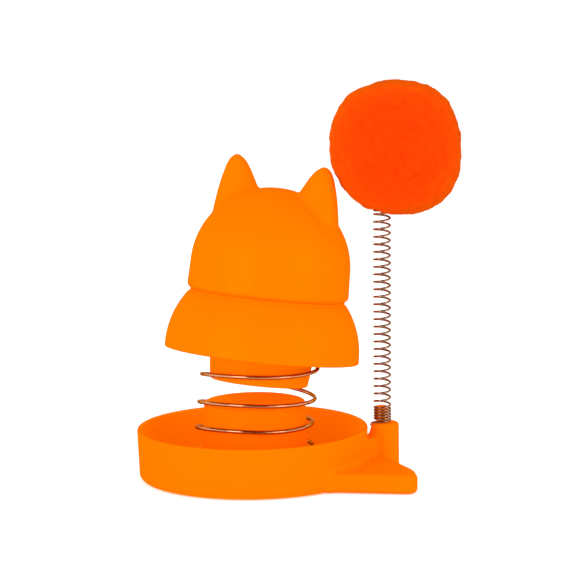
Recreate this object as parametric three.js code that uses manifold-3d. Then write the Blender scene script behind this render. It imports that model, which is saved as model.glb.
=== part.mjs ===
// A spring cat teaser: a round treat tray with a wide coil spring that carries a bell and a dome with
// two ears, and beside the tray a post with a thin spring wand and a pompom. Millimetres, +Z up, the
// origin in the middle of the tray on the surface that the pads stand on, -Y towards the viewer.

import * as THREE from 'three';
import * as BufferGeometryUtils from 'three/addons/utils/BufferGeometryUtils.js';
import Module from 'manifold-3d';

const wasm = await Module();
wasm.setup();

// Fits
const seatGap = 0.3;            // between two pieces that touch
const screwFit = 0.3;           // round a screw's shank, in radius
const clawFit = 0.3;            // between a claw and the wire that it holds

// Tray
const trayRimR = 55;            // outside, at the rim
const trayDraft = 1;            // how much narrower the tray is at its foot
const trayDepth = 24.1;         // from its foot to its rim
const trayWall = 2;
const trayFloor = 3;            // thickness of the floor
const footRound = 3;            // outer corner between wall and floor
const padThick = 1.5;
const padR = 45;
const footLift = 0.3;           // the pads stand this much lower than the moulding

// Ledge beside the tray, its outline seen from above
const ledgeTop = 9.3;           // above the moulding's foot
const ledgeWall = 2.2;
const ledgeRound = 1.2;         // its upper edge
const ledgeReach = 21.7;        // how far its corner lies outside the tray's rim, along X
const ledgeFrontLeft = -41;     // y of the front edge where it leaves the tray
const ledgeFrontRight = -46.5;  // y of the front edge at its corner
const ledgeArcR = 80.1;         // its long round side
const ledgePadR = 5.5;
const ledgePadIn = 13;          // its middle from the ledge's corner, to the left
const ledgePadBack = 14;        // and from the front edge

// Post, and the web between post and tray
const postX = 8.5;              // its axis lies this far outside the tray's rim
const postY = 5;
const postR = 6.5;
const postHeight = 24.4;        // above the moulding's foot
const postRound = 1.3;
const webFillet = 9;            // the concave sides of the web, in plan
const webDrop = 4.2;            // the web meets the tray this much under its rim
const plinthHeight = 6.5;       // the low part that ties the post to the ledge

// Lower stub
const hubX = 1.2;
const hubHeight = 31.5;         // from the tray's floor to its closed top
const hubR = 24.9;
const hubTaper = 0.7;           // how much narrower it is at its top
const hubGroove = 0.6;          // how much narrower it is where the spring's end turn lies
const stubWall = 1.8;
const bossCircle = 17;          // the screws' circle, in both stubs
const bossR = 3.6;

// Screws
const screwR = 1.2;
const screwHeadR = 2.7;
const screwHead = 1.6;
const screwBite = 9;            // length in the boss

// Wide spring: right-handed, with turns counted from the viewer's side
const wire = 1.2;
const springFit = 1.95;         // from the lower stub's widest place to the wire
const springTall = 70.5;        // between its two end turns, upright
const springRise = [            // turn, share of that height
  [-0.5, 0], [0.125, 0], [0.5, 0.028], [1, 0.106], [2, 0.2665],
  [3, 0.44], [4, 0.631], [5, 0.824], [6, 0.966], [6.375, 1], [7, 1],
];
const leanFrom = 2;             // the turns lean over between these heights above the end turn
const leanTo = 19;
const shiftFrom = 8;            // and their middles move over to the head's axis between these
const shiftTo = 24;

// How the head stands at rest
const leanSide = 6.5;           // degrees, to the right
const leanBack = 5.2;           // degrees, away from the viewer
const headX = 4.9;              // the middle of the bell's mouth
const headY = 3;
const headTurn = -25;           // degrees, the ears' line about the head's own axis

// Upper stub, in the head's frame: heights from the bell's mouth
const neckBottom = -14;
const neckBottomR = 23.3;
const neckTopR = 24.7;
const neckFit = 2.15;           // from its widest place to the wire

// Bell
const bellRoom = 12.2;          // from the collar's outside to the bell's mouth
const bellArcR = 41.8;
const bellTop = 27.3;
const bellWall = 2.2;
const plateBottom = 18;
const plateThick = 2.5;
const plateHole = 8;
const collarR = 34.2;
const collarTop = 36;
const collarWall = 1.8;
const shoulder = 28.3;
const lugs = 3;
const lugHalfAngle = 12;        // degrees
const lugThick = 2;

// Dome and ears
const domeRoom = 3.9;           // from the collar's outside to the dome's
const domeCentre = 41;
const domeFlare = 0.4;          // how much wider the dome is near its lip
const domeWall = 2;
const lipRoom = 2.7;            // from the collar's outside to the dome's lip
const lipRise = 2;
const earSections = [           // height, middle of the section, half its width
  [52, 15, 16.6], [60, 17.2, 15.6], [66, 18.4, 13.8], [72, 19.7, 11.7], [78, 20.8, 9.5],
  [83, 21.6, 7.5], [87, 22.2, 5.7], [89.5, 22.6, 4.1], [91.2, 22.9, 2.2],
];
const earDepth = 0.72;          // of its width
const earUneven = 0.8;          // the left ear's tip stands this much higher, the right one's lower

// Wand: thin spring, peg in the post, plug in the pompom
const wandWire = 0.9;
const wandR = 3.8;              // middle of the wire
const pegFit = 0.55;            // from the peg to the wire
const pegTall = 8;              // above the post
const pegDepth = 10.7;          // in the post
const wandX = -1.4;             // the wand's axis from the post's
const closeTurns = 6;
const closePitch = 1.36;
const openTurns = 26;
const openPitch = 3.54;
const topTurns = 3;
const wandLean = 0.65;          // how far its top lies to the right of its foot
const wandBack = 1.5;           // and how far behind it
const tailReach = 4.6;          // its lower end, over the post's rim

// Pompom
const pompomR = 31.5;
const pompomTall = 0.6;         // it is this much higher than wide, in radius
const pompomFlat = 0.3;         // it is this much narrower at its sides
const pompomBulge = 1.6;        // it bulges this much to the lower right
const pompomX = 6.6;            // its middle lies this far to the right of the wand's top
const pompomY = 2.5;            // and this far behind it
const pompomUp = 31.7;          // its middle, above the end of the open turns
const tieR = 0.8;

// Colours
const orange = { color: 0xff7a00, roughness: 0.3, metalness: 0 };
const orangeDeep = { color: 0xff6600, roughness: 0.35, metalness: 0 };
const yarn = { color: 0xff5500, roughness: 1, metalness: 0 };
const copper = { color: 0xb87355, roughness: 0.25, metalness: 1 };
const steel = { color: 0x9a9a9a, roughness: 0.35, metalness: 1 };
const foam = { color: 0x2c2c2c, roughness: 0.9, metalness: 0 };

// Sizes that follow from the others
const rimZ = footLift + trayDepth;
const padCeiling = padThick + seatGap;
const floorZ = padCeiling + trayFloor;
const hubFoot = floorZ + seatGap;
const hubTop = floorZ + hubHeight;
const wireR = wire / 2;
const endTurnZ = floorZ + seatGap + wireR;
const springR = Math.max(hubR + springFit, neckTopR + neckFit) + wireR;
const postAt = new THREE.Vector2(trayRimR + postX, postY);
const postTop = footLift + postHeight;
const bellR = collarR + bellRoom;
const lipR = collarR + lipRoom;
const domeR = collarR + domeRoom;
const domeSideR = domeR + domeFlare;
const wandAt = new THREE.Vector2(postAt.x + wandX, postAt.y);

const degrees = THREE.MathUtils.degToRad;

// The head's frame: its axis leans, and its origin is the middle of the bell's mouth
const headAxis = new THREE.Vector3(Math.tan(degrees(leanSide)), Math.tan(degrees(leanBack)), 1).normalize();
const topTurnH = plateBottom - seatGap - wireR;
const headZ = endTurnZ + springTall - topTurnH * headAxis.z;
const headAt = new THREE.Vector3(headX, headY, headZ);
const headTilt = new THREE.Quaternion().setFromUnitVectors(new THREE.Vector3(0, 0, 1), headAxis);

// A closed geometry as a solid, with its shared corners merged and its faces pointing out
function solid(geometry) {
  const bare = geometry.clone();
  bare.deleteAttribute('normal');
  bare.deleteAttribute('uv');
  const merged = BufferGeometryUtils.mergeVertices(bare, 1e-4);
  const corner = merged.attributes.position;
  const index = merged.index.array;
  const triangles = [];
  let volume = 0;
  const [a, b, c] = [new THREE.Vector3(), new THREE.Vector3(), new THREE.Vector3()];
  for (let i = 0; i < index.length; i += 3) {
    const [p, q, r] = [index[i], index[i + 1], index[i + 2]];
    if (p === q || q === r || r === p) continue;
    triangles.push(p, q, r);
    a.fromBufferAttribute(corner, p);
    b.fromBufferAttribute(corner, q);
    c.fromBufferAttribute(corner, r);
    volume += a.dot(b.cross(c));
  }
  if (volume < 0) triangles.reverse();
  return new wasm.Manifold(new wasm.Mesh({
    numProp: 3,
    vertProperties: new Float32Array(corner.array),
    triVerts: new Uint32Array(triangles),
  }));
}

// A solid back as a geometry
function surface(body) {
  const mesh = body.getMesh();
  const geometry = new THREE.BufferGeometry();
  geometry.setAttribute('position', new THREE.BufferAttribute(mesh.vertProperties, 3));
  geometry.setIndex(new THREE.BufferAttribute(mesh.triVerts, 1));
  geometry.computeVertexNormals();
  return geometry;
}

// A profile of [radius, height] turned about Z
function turned(profile, segments) {
  const points = profile.map(([r, z]) => new THREE.Vector2(r, z));
  return new THREE.LatheGeometry(points, segments).rotateX(Math.PI / 2);
}

// A round rod between two heights
function rod(radius, low, high, segments = 12) {
  return turned([[0, low], [radius, low], [radius, high], [0, high]], segments);
}

// An outline of [x, y] raised between two heights
function prism(outline, low, high) {
  const shape = new THREE.Shape(outline.map(([x, y]) => new THREE.Vector2(x, y)));
  const geometry = new THREE.ExtrudeGeometry(shape, { depth: high - low, bevelEnabled: false });
  return geometry.translate(0, 0, low);
}

// A piece of a ring: between two radii and two heights, about an angle in degrees
function sector(inner, outer, low, high, angle, halfAngle, steps = 2) {
  const outline = [];
  for (let i = 0; i <= steps; i += 1) {
    const turn = degrees(angle - halfAngle + (2 * halfAngle * i) / steps);
    outline.push([outer * Math.cos(turn), outer * Math.sin(turn)]);
  }
  for (let i = steps; i >= 0; i -= 1) {
    const turn = degrees(angle - halfAngle + (2 * halfAngle * i) / steps);
    outline.push([inner * Math.cos(turn), inner * Math.sin(turn)]);
  }
  return prism(outline, low, high);
}

// Places at equal angles on a circle
function around(count, radius, first) {
  return Array.from({ length: count }, (_, i) => {
    const turn = degrees(first + (360 * i) / count);
    return new THREE.Vector2(radius * Math.cos(turn), radius * Math.sin(turn));
  });
}

// A quarter round between two directions, as [x, y] points about a centre
function arc(centreX, centreY, radius, fromDeg, toDeg, steps) {
  return Array.from({ length: steps + 1 }, (_, i) => {
    const turn = degrees(fromDeg + ((toDeg - fromDeg) * i) / steps);
    return [centreX + radius * Math.cos(turn), centreY + radius * Math.sin(turn)];
  });
}

// An unbroken tube of five sides along points; each side vector starts a ring's first corner
function tube(points, sideVectors, radius) {
  const sides = 5;
  const position = [];
  const index = [];
  const corner = new THREE.Vector3();
  points.forEach((point, i) => {
    const before = points[Math.max(i - 1, 0)];
    const after = points[Math.min(i + 1, points.length - 1)];
    const along = after.clone().sub(before).normalize();
    const side = sideVectors[i].clone().addScaledVector(along, -sideVectors[i].dot(along)).normalize();
    const third = along.clone().cross(side);
    for (let k = 0; k < sides; k += 1) {
      const turn = (2 * Math.PI * k) / sides;
      corner.copy(point).addScaledVector(side, radius * Math.cos(turn));
      corner.addScaledVector(third, radius * Math.sin(turn));
      position.push(corner.x, corner.y, corner.z);
    }
  });
  for (let i = 0; i < points.length - 1; i += 1) {
    for (let k = 0; k < sides; k += 1) {
      const [p, q] = [i * sides + k, i * sides + ((k + 1) % sides)];
      index.push(p, q, q + sides, p, q + sides, p + sides);
    }
  }
  const last = (points.length - 1) * sides;
  for (let k = 1; k < sides - 1; k += 1) {
    index.push(0, k + 1, k);
    index.push(last, last + k, last + k + 1);
  }
  const geometry = new THREE.BufferGeometry();
  geometry.setAttribute('position', new THREE.Float32BufferAttribute(position, 3));
  geometry.setIndex(index);
  geometry.computeVertexNormals();
  return geometry;
}

// The least gap of a tube to itself, measured on points along it
function leastGap(points, diameter) {
  const fine = [];
  for (let i = 0; i < points.length - 1; i += 1) {
    for (let k = 0; k < 4; k += 1) fine.push(points[i].clone().lerp(points[i + 1], k / 4));
  }
  const run = [0];
  for (let i = 1; i < fine.length; i += 1) run.push(run[i - 1] + fine[i].distanceTo(fine[i - 1]));
  let least = Infinity;
  for (let i = 0; i < fine.length; i += 1) {
    for (let k = i + 1; k < fine.length; k += 1) {
      if (run[k] - run[i] > 4 * diameter) least = Math.min(least, fine[i].distanceTo(fine[k]));
    }
  }
  return least - diameter;
}

// A smooth rise through [turn, height] knots, which never falls
function climb(knots, turn) {
  const slope = knots.map((_, i) => {
    if (i === 0 || i === knots.length - 1) return 0;
    const before = (knots[i][1] - knots[i - 1][1]) / (knots[i][0] - knots[i - 1][0]);
    const after = (knots[i + 1][1] - knots[i][1]) / (knots[i + 1][0] - knots[i][0]);
    return before * after <= 0 ? 0 : (2 * before * after) / (before + after);
  });
  let i = 0;
  while (i < knots.length - 2 && turn > knots[i + 1][0]) i += 1;
  const span = knots[i + 1][0] - knots[i][0];
  const t = THREE.MathUtils.clamp((turn - knots[i][0]) / span, 0, 1);
  const start = knots[i][1] * (1 + 2 * t) * (1 - t) ** 2 + slope[i] * span * t * (1 - t) ** 2;
  return start + knots[i + 1][1] * t * t * (3 - 2 * t) + slope[i + 1] * span * t * t * (t - 1);
}

// Base tray: one moulding of the tray, the ledge, the post and the web between them
const postPegR = wandR - wandWire / 2 - pegFit;
const pegHoleR = postPegR + seatGap;
const pegSeatZ = postTop - pegDepth - seatGap;
const pegScrewCeiling = pegSeatZ - 2;

function trayShell() {
  const footR = trayRimR - trayDraft;
  const rim = trayWall / 2;
  return solid(turned([
    [0, padCeiling],
    [padR + 0.6, padCeiling],
    [padR + 0.6, footLift],
    ...arc(footR - footRound, footLift + footRound, footRound, -90, -15, 3),
    [trayRimR - 0.1, rimZ - rim],
    ...arc(trayRimR - rim, rimZ - rim, rim, 20, 160, 3),
    [footR - trayWall - 0.2, floorZ + 1.5],
    [footR - trayWall - 1.7, floorZ],
    [0, floorZ],
  ], 48));
}

function ledgeOutline(inset) {
  const corner = new THREE.Vector2(trayRimR + ledgeReach, ledgeFrontRight + 3.5);
  const centre = new THREE.Vector2(corner.x - ledgeArcR * Math.cos(degrees(10.2)),
    corner.y - ledgeArcR * Math.sin(degrees(10.2)));
  const innerR = trayRimR - trayWall * 0.75;
  const seam = THREE.MathUtils.radToDeg(Math.asin((ledgeFrontLeft + 1 + inset) / innerR));
  return [
    ...arc(0, 0, innerR, -2 - inset, seam, 4),
    [0.68 * trayRimR, ledgeFrontLeft + inset],
    [corner.x - 3.3 - inset, ledgeFrontRight + inset],
    [corner.x - 1.2 - inset, ledgeFrontRight + 0.9 + inset],
    ...arc(centre.x, centre.y, ledgeArcR - inset, 10.2, 40, 7),
  ];
}

function ledge() {
  const rounded = ledgeOutline(ledgeRound).map(([x, y]) => new THREE.Vector2(x, y));
  const low = footLift + ledgeRound;
  const block = solid(new THREE.ExtrudeGeometry(new THREE.Shape(rounded), {
    depth: ledgeTop - 2 * ledgeRound,
    bevelThickness: ledgeRound,
    bevelSize: ledgeRound,
    bevelSegments: 1,
  }).translate(0, 0, low));
  const core = solid(prism(ledgeOutline(ledgeWall), footLift - 1, footLift + ledgeTop - ledgeWall));
  const boss = solid(rod(ledgePadR + 1, padCeiling, footLift + ledgeTop - 1)
    .translate(trayRimR + ledgeReach - ledgePadIn, ledgeFrontRight + ledgePadBack, 0));
  return block.subtract(core).add(boss);
}

// The concave side of the web: an arc that touches the tray's wall and the post
function webSide(sign) {
  const wallR = trayRimR - 0.5;
  const reach = postAt.length();
  const fromTray = wallR + webFillet;
  const fromPost = postR + webFillet;
  const along = (reach ** 2 + fromTray ** 2 - fromPost ** 2) / (2 * reach);
  const off = Math.sqrt(fromTray ** 2 - along ** 2) * sign;
  const unit = postAt.clone().divideScalar(reach);
  const centre = new THREE.Vector2(unit.x * along - unit.y * off, unit.y * along + unit.x * off);
  const start = THREE.MathUtils.radToDeg(Math.atan2(-centre.y, -centre.x));
  let end = THREE.MathUtils.radToDeg(Math.atan2(postAt.y - centre.y, postAt.x - centre.x));
  if (end - start > 180) end -= 360;
  if (start - end > 180) end += 360;
  return arc(centre.x, centre.y, webFillet, start, end, 4);
}

function web() {
  const inner = trayRimR - trayWall / 2;
  const front = webSide(-1);
  const back = webSide(1).reverse();
  const plan = solid(prism([
    [Math.sqrt(inner ** 2 - front[0][1] ** 2), front[0][1]],
    ...front, [postAt.x, postAt.y], ...back,
    [Math.sqrt(inner ** 2 - back.at(-1)[1] ** 2), back.at(-1)[1]],
  ], footLift, postTop));
  const [nearX, farX] = [inner - 12, postAt.x];
  const [lowZ, highZ] = [rimZ - webDrop, postTop - postRound];
  const top = Array.from({ length: 5 }, (_, i) => {
    const share = i / 4;
    return [trayRimR + (postX - postR) * share, lowZ + (highZ - lowZ) * share ** 2.2];
  });
  const side = prism([[nearX, 0], [farX, 0], [farX, highZ], ...top.reverse(), [nearX, lowZ]], -40, 40);
  return plan.intersect(solid(side.rotateX(Math.PI / 2)));
}

function post() {
  const foot = footLift;
  const stem = solid(turned([
    [0, foot], [postR, foot],
    ...arc(postR - postRound, postTop - postRound, postRound, 0, 90, 3),
    [0, postTop],
  ], 28).translate(postAt.x, postAt.y, 0));
  const plinth = solid(prism([
    [trayRimR - 3, -6], [trayRimR + 9, -13], [postAt.x + postR - 0.3, postAt.y - 1],
    [postAt.x + postR - 1.4, postAt.y + 3.5], [postAt.x, postAt.y + postR - 0.3], [trayRimR - 3, postAt.y + 8],
  ], foot, foot + plinthHeight));
  return stem.add(plinth);
}

function postBore() {
  const { x, y } = wandAt;
  const bore = solid(rod(pegHoleR, pegSeatZ, postTop + 1).translate(x, y, 0));
  const hole = solid(rod(screwR + screwFit, pegScrewCeiling - 1, pegSeatZ + 1).translate(x, y, 0));
  const recess = solid(rod(screwHeadR + 0.5, footLift - 1, pegScrewCeiling).translate(x, y, 0));
  return bore.add(hole).add(recess);
}

// A shallow notch in the post's rim, for the wand's tail
function tailNotch() {
  const wide = wandWire / 2 + 0.35;
  const y = wandAt.y - wandR;
  const left = wandAt.x - tailReach - 2.4;
  return solid(prism([[left, y - wide], [wandAt.x, y - wide], [wandAt.x, y + wide], [left, y + wide]],
    postTop - 0.25, postTop + 3));
}

const hubBosses = around(3, bossCircle, 30).map((at) => at.add(new THREE.Vector2(hubX, 0)));

function baseTray() {
  let body = trayShell().add(ledge()).add(web()).add(post()).subtract(postBore()).subtract(tailNotch());
  const inside = trayRimR - trayDraft - trayWall - 0.2;
  body = body.subtract(solid(turned([[0, floorZ + 1.5], [inside, floorZ + 1.5],
    [inside + trayDraft * 0.9, rimZ - 1], [0, rimZ + 6]], 48)));
  for (const { x, y } of hubBosses) {
    body = body.subtract(solid(rod(screwR + screwFit, padCeiling - 1, floorZ + 1).translate(x, y, 0)));
    const seat = padCeiling + screwHead + 0.4;
    body = body.subtract(solid(rod(screwHeadR + 0.4, padCeiling - 1, seat).translate(x, y, 0)));
  }
  return body;
}

// Pads under the tray and under the ledge
function pad(radius) {
  return solid(turned([[0, 0], [radius, 0], [radius, padThick], [0, padThick]], 40));
}

// A screw with its head at the bottom, its seat face at height 0
function screw(grip) {
  const end = grip + screwBite;
  return turned([
    [0, -screwHead], [screwHeadR * 0.8, -screwHead], [screwHeadR, -screwHead * 0.5], [screwHeadR, 0],
    [screwR, 0], [screwR, end - 1.5], [0, end],
  ], 12);
}

// A closed cup with three bosses: outer profile from its open end to its closed end, and its wall
function stub(outer, bossAngle, openZ, closedZ, pilot) {
  const inward = Math.sign(closedZ - openZ);
  const inner = outer.slice(0, -1).map(([r, z]) => [r - stubWall, z]).reverse();
  inner[0] = [inner[0][0], closedZ - inward * stubWall];
  let body = solid(turned([
    ...outer, [0, closedZ], [0, closedZ - inward * stubWall], ...inner, outer[0],
  ], 36));
  for (const { x, y } of around(3, bossCircle, bossAngle)) {
    const [low, high] = [Math.min(openZ, closedZ - inward), Math.max(openZ, closedZ - inward)];
    body = body.add(solid(rod(bossR, low, high).translate(x, y, 0)));
    const [from, to] = [openZ - inward, openZ + inward * pilot];
    body = body.subtract(solid(rod(screwR + screwFit, Math.min(from, to), Math.max(from, to))
      .translate(x, y, 0)));
  }
  return body;
}

// Lower stub: stands on the tray's floor, closed on top, claws over the spring's end turn
function springHub() {
  const [edge, grooveTop] = [1, endTurnZ + 4.5 * wire];
  const grooveR = hubR - hubGroove;
  const topR = hubR - hubTaper;
  const outer = [
    [grooveR, hubFoot], [grooveR, grooveTop], [hubR, grooveTop + 4], [hubR, grooveTop + 8],
    [topR, hubTop - edge], [topR - edge * 0.3, hubTop - edge * 0.3], [topR - edge, hubTop],
  ];
  let body = stub(outer, 30, hubFoot, hubTop, screwBite + 1);
  const clawZ = endTurnZ + wireR + clawFit;
  for (const angle of [150, 215, 280]) {
    body = body.add(solid(sector(grooveR - 1, springR + wireR, clawZ, clawZ + 1.4, angle, 7)));
  }
  const stopFrom = wire + seatGap;
  const stopOut = springR * 1.03 + wireR;
  return body.add(solid(prism([
    [stopFrom, grooveR - 1], [stopFrom + 2, grooveR - 1], [stopFrom + 2, stopOut], [stopFrom, stopOut],
  ], hubFoot, endTurnZ + wireR)));
}

// Wide spring: round the lower stub upright, then leaning over with the head
function springMiddle(height) {
  const share = THREE.MathUtils.smoothstep(height, shiftFrom, shiftTo);
  const down = (endTurnZ + height - headAt.z) / headAxis.z;
  const line = headAt.clone().addScaledVector(headAxis, down);
  const z = endTurnZ + height;
  return new THREE.Vector3(THREE.MathUtils.lerp(hubX, line.x, share), THREE.MathUtils.lerp(0, line.y, share), z);
}

function wideSpringPath() {
  const points = [];
  const sides = [];
  const steps = 8;
  const [first, last] = [springRise[0][0], springRise.at(-1)[0]];
  const turnR = springR * 1.03;
  const upright = new THREE.Quaternion();
  for (let i = 0; i <= (last - first) * steps; i += 1) {
    const turn = first + i / steps;
    const height = springTall * climb(springRise, turn);
    const lean = upright.clone().slerp(headTilt, THREE.MathUtils.smoothstep(height, leanFrom, leanTo));
    const angle = 2 * Math.PI * turn - Math.PI / 2;
    const out = new THREE.Vector3(Math.cos(angle), Math.sin(angle), 0).applyQuaternion(lean);
    points.push(springMiddle(height).addScaledVector(out, turnR));
    sides.push(out);
  }
  const startRun = new THREE.Vector3(wire, 0, 0);
  const endRun = new THREE.Vector3(wire, 0, 0).applyQuaternion(headTilt);
  points.unshift(points[0].clone().add(startRun));
  points.push(points.at(-1).clone().add(endRun));
  sides.unshift(sides[0]);
  sides.push(sides.at(-1));
  return { points, sides };
}

// Upper stub, in the head's frame: closed at its bottom, claws under the spring's top turn
function neckCup() {
  const [edge, top] = [0.8, plateBottom - seatGap];
  const outer = [
    [neckTopR - 0.4, top], [neckTopR - 0.4, top - 5], [neckTopR, top - 7], [neckTopR, 0], [neckTopR - 0.2, -4],
    [neckTopR - 0.6, -8], [neckBottomR, neckBottom + edge], [neckBottomR - edge * 0.3, neckBottom + edge * 0.3],
    [neckBottomR - edge, neckBottom],
  ];
  let body = stub(outer, 0, top, neckBottom, screwBite + 1);
  const clawH = topTurnH - wireR - clawFit;
  for (const angle of [70, 140, 210]) {
    body = body.add(solid(sector(neckTopR - 1.4, springR + wireR, clawH - 1.4, clawH, angle, 7)));
  }
  const stopFrom = wire + seatGap;
  const stopOut = springR * 1.03 + wireR;
  return body.add(solid(prism([
    [stopFrom, -stopOut], [stopFrom + 2, -stopOut], [stopFrom + 2, 1.4 - neckTopR], [stopFrom, 1.4 - neckTopR],
  ], topTurnH - wireR - 0.2, top)));
}

// Bell: its outside is an arc; an inner plate carries the stub, a collar with lugs carries the dome
function bellRadius(height) {
  return bellR - bellArcR + Math.sqrt(bellArcR ** 2 - (height - 1) ** 2);
}

function skirt() {
  const outside = [1, 6, 11, 16, 21, 24.5, bellTop].map((height) => [bellRadius(height), height]);
  const inside = [plateBottom, 12, 6, 0].map((height) => [bellRadius(height) - bellWall, height]);
  const plateTop = plateBottom + plateThick;
  let body = solid(turned([
    [bellRadius(1) - 0.9, 0], ...outside, [lipR, bellTop + 0.3], [lipR, shoulder], [collarR, shoulder],
    [collarR, collarTop], [collarR - collarWall, collarTop], [collarR - collarWall, shoulder - 1.5],
    [bellRadius(plateTop + 2) - bellWall, plateTop + 2], [bellRadius(plateTop) - bellWall - 0.3, plateTop],
    [plateHole, plateTop], [plateHole, plateBottom], ...inside, [bellRadius(1) - 0.9, 0],
  ], 40));
  for (const { x, y } of around(3, bossCircle, 0)) {
    body = body.subtract(solid(rod(screwR + screwFit, plateBottom - 1, plateTop + 1).translate(x, y, 0)));
  }
  const lugTop = collarTop - 0.5;
  for (let i = 0; i < lugs; i += 1) {
    const angle = headTurn + 90 + (360 * i) / lugs;
    body = body.add(solid(sector(collarR - 1, collarR + 1.5, lugTop - lugThick, lugTop, angle, lugHalfAngle)));
  }
  return body;
}

// Dome and ears, with the ears' line along X; hooks inside reach under the bell's lugs
function earSection(wall, [height, middle, half]) {
  return { z: height - wall, x: middle - wall * 0.15, a: Math.max(half - wall, 0.5), b: Math.max(half * earDepth - wall, 0.4) };
}

function ear(side, wall) {
  const sides = wall > 0 ? 10 : 16;
  const sections = earSections.map((row) => earSection(wall, row));
  const geometry = new THREE.CylinderGeometry(1, 1, 1, sides, sections.length - 1).rotateX(Math.PI / 2);
  const at = geometry.attributes.position;
  for (let i = 0; i < at.count; i += 1) {
    const row = sections[Math.round((at.getZ(i) + 0.5) * (sections.length - 1))];
    const [foot, tip] = [sections[0].z, sections.at(-1).z];
    const lower = (side * earUneven * (row.z - foot)) / (tip - foot);
    at.setXYZ(i, side * (row.x + side * row.a * at.getX(i)), row.b * at.getY(i), row.z - lower);
  }
  return solid(geometry);
}

function domeProfile(radius, low) {
  const rings = 8;
  const rows = low;
  for (let i = 1; i < rings; i += 1) {
    const turn = degrees((90 * i) / rings);
    rows.push([radius * Math.cos(turn), domeCentre + radius * Math.sin(turn)]);
  }
  return [...rows, [0, domeCentre + radius]];
}

function headDome() {
  const bottom = shoulder + seatGap + 0.1;
  const outside = domeProfile(domeR, [[0, bottom], [lipR, bottom], [domeSideR, bottom + lipRise], [domeR + 0.1, domeCentre - 1]]);
  const innerR = domeR - domeWall;
  const mouthR = collarR + 0.8;
  const inside = domeProfile(innerR, [
    [0, bottom - 1], [mouthR, bottom - 1], [mouthR, bottom + 1.4], [innerR + 0.3, bottom + 2.6],
    [innerR + 0.1, domeCentre - 1],
  ]);
  const outer = solid(turned(outside, 40)).add(ear(1, 0)).add(ear(-1, 0));
  const hollow = solid(turned(inside, 28)).add(ear(1, domeWall)).add(ear(-1, domeWall));
  let body = outer.subtract(hollow);
  const hookTop = collarTop - 0.5 - lugThick - seatGap;
  for (let i = 0; i < lugs; i += 1) {
    const angle = 90 + (360 * i) / lugs;
    body = body.add(solid(sector(collarR + 0.4, innerR + 1, hookTop - lugThick, hookTop, angle, lugHalfAngle)));
  }
  return body;
}

// Wand: peg in the post, thin spring from the post's top to the pompom's plug
function wandPeg() {
  const body = solid(turned([
    [0, postTop - pegDepth], [postPegR, postTop - pegDepth], [postPegR, postTop + pegTall - 0.8],
    [postPegR - 0.8, postTop + pegTall], [0, postTop + pegTall],
  ], 16));
  return body.subtract(solid(rod(screwR + screwFit, postTop - pegDepth - 1, postTop - 1, 12)));
}

const wandStart = postTop + seatGap + wandWire / 2;
const closeTop = wandStart + closeTurns * closePitch;
const openTop = closeTop + openTurns * openPitch;
const wandTop = openTop + topTurns * closePitch;

const wandEnd = new THREE.Vector2(wandAt.x + wandLean, wandAt.y + wandBack);

function wandAxis(z) {
  const share = THREE.MathUtils.clamp((z - wandStart) / (openTop - wandStart), 0, 1);
  return new THREE.Vector3(wandAt.x + wandLean * share, wandAt.y + wandBack * share, z);
}

function wandPath() {
  const points = [];
  const sides = [];
  const steps = 8;
  const turns = closeTurns + openTurns + topTurns;
  const knots = [[0, wandStart], [closeTurns, closeTop], [closeTurns + openTurns, openTop], [turns, wandTop]];
  for (let i = 0; i <= turns * steps; i += 1) {
    const turn = i / steps;
    const span = knots.findIndex(([end]) => turn <= end) || 1;
    const [[t0, z0], [t1, z1]] = [knots[span - 1], knots[span]];
    const z = z0 + ((z1 - z0) * (turn - t0)) / (t1 - t0);
    const angle = 2 * Math.PI * turn - Math.PI / 2;
    const out = new THREE.Vector3(Math.cos(angle), Math.sin(angle), 0);
    points.push(wandAxis(z).addScaledVector(out, wandR * 1.03));
    sides.push(out);
  }
  const tail = points[0].clone();
  for (const [back, down] of [[tailReach * 0.5, 0.1], [tailReach, 0.1], [tailReach + 0.9, 0.7], [tailReach + 1.1, 1.6]]) {
    points.unshift(new THREE.Vector3(tail.x - back, tail.y, tail.z - down));
    sides.unshift(sides[0]);
  }
  const end = points.at(-1).clone().add(new THREE.Vector3(wandWire, 0, 0));
  points.push(end);
  sides.push(sides.at(-1));
  return { points, sides };
}

// Plug in the wand's top turns: a stem, a shoulder over the spring and a button for the tie
const plugFoot = openTop - 2.5;
const plugShoulder = wandTop + wandWire / 2 + seatGap;
const plugNeckR = 1.6;
const plugTop = plugShoulder + 6;

function pompomPlug() {
  return solid(turned([
    [0, plugFoot], [postPegR - 0.6, plugFoot], [postPegR, plugFoot + 0.6], [postPegR, plugShoulder],
    [wandR + wandWire / 2, plugShoulder], [wandR + wandWire / 2, plugShoulder + 1.5], [plugNeckR, plugShoulder + 1.5],
    [plugNeckR, plugTop - 1.5], [postPegR, plugTop - 1.5], [postPegR, plugTop], [0, plugTop],
  ], 12));
}

// Tie: a closed band of thread round the plug's neck
function pompomTie() {
  const ringR = plugNeckR + tieR + seatGap;
  return new THREE.TorusGeometry(ringR, tieR, 6, 12);
}

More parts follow.
